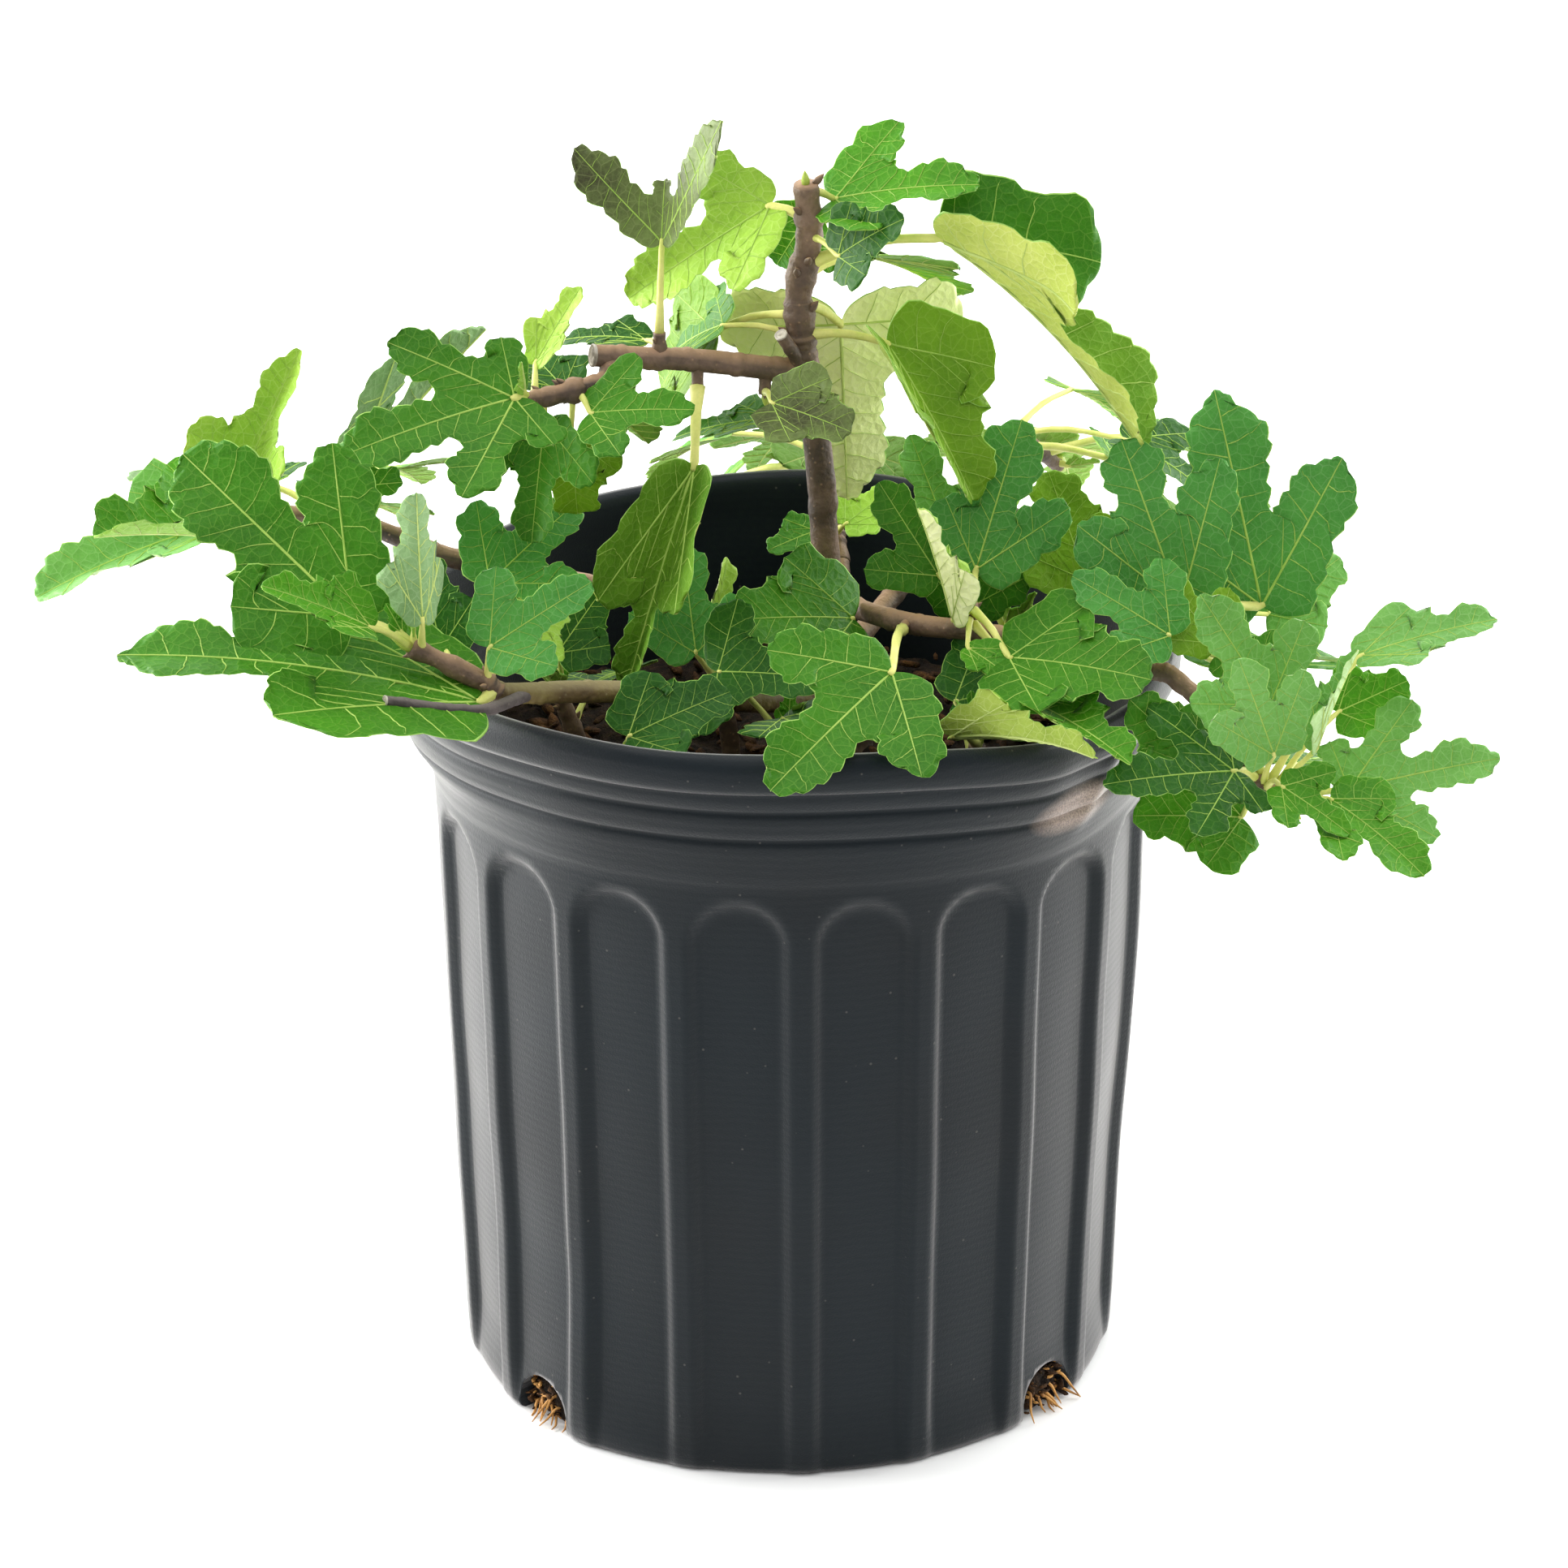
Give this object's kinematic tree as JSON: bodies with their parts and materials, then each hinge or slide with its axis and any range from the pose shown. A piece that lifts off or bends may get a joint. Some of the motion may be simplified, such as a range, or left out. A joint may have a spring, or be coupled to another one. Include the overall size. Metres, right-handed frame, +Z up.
{
  "type": "fig tree in a pot",
  "caption": "Young leafy fig tree with a leaning trunk, low boughs and lobed leaves in a black fluted nursery pot.",
  "frame": {"origin": "centre of the pot's flat underside, on the floor", "axes": "+X to the viewer's right, +Y away from the viewer, +Z up the pot's axis"},
  "size_m": [0.4133, 0.3342, 0.3814],
  "materials": {
    "plastic": "charcoal moulded polypropylene, satin, faintly ringed and scuffed",
    "mix": "dark composted bark potting mix with pale roots at the drain holes",
    "bark": "smooth brown young bark with leaf scars and lenticels",
    "leaf": "living fig leaf, mid green, rough and quilted between pale veins",
    "young_leaf": "young fig leaf, yellow green with pale veins and stalk"
  },
  "bodies": {
    "root": {"pot": "plastic", "potting_mix": "mix", "trunk": "bark", "left_arm": "bark", "arm_end_twig": "bark", "low_left_bough": "bark", "low_left_cut_twig": "bark", "right_bough": "bark", "right_outer_bough": "bark", "back_left_bough": "bark", "back_bough": "bark", "back_right_bough": "bark", "top_leaves": "young_leaf", "arm_upper_leaves": "leaf", "arm_inner_leaves": "leaf", "arm_hanging_leaf": "leaf", "arm_end_leaves": "leaf", "low_left_leaves": "leaf", "front_left_leaves": "leaf", "inner_leaves": "leaf", "inner_front_leaves": "leaf", "inner_left_leaves": "leaf", "inner_right_leaves": "leaf", "front_rim_leaf": "leaf", "right_spur_leaves": "leaf", "right_mid_leaves": "leaf", "right_tip_leaves": "young_leaf", "right_back_leaves": "leaf", "back_left_leaves": "young_leaf", "back_leaves": "leaf", "back_right_leaves": "leaf"}
  },
  "joints": []
}
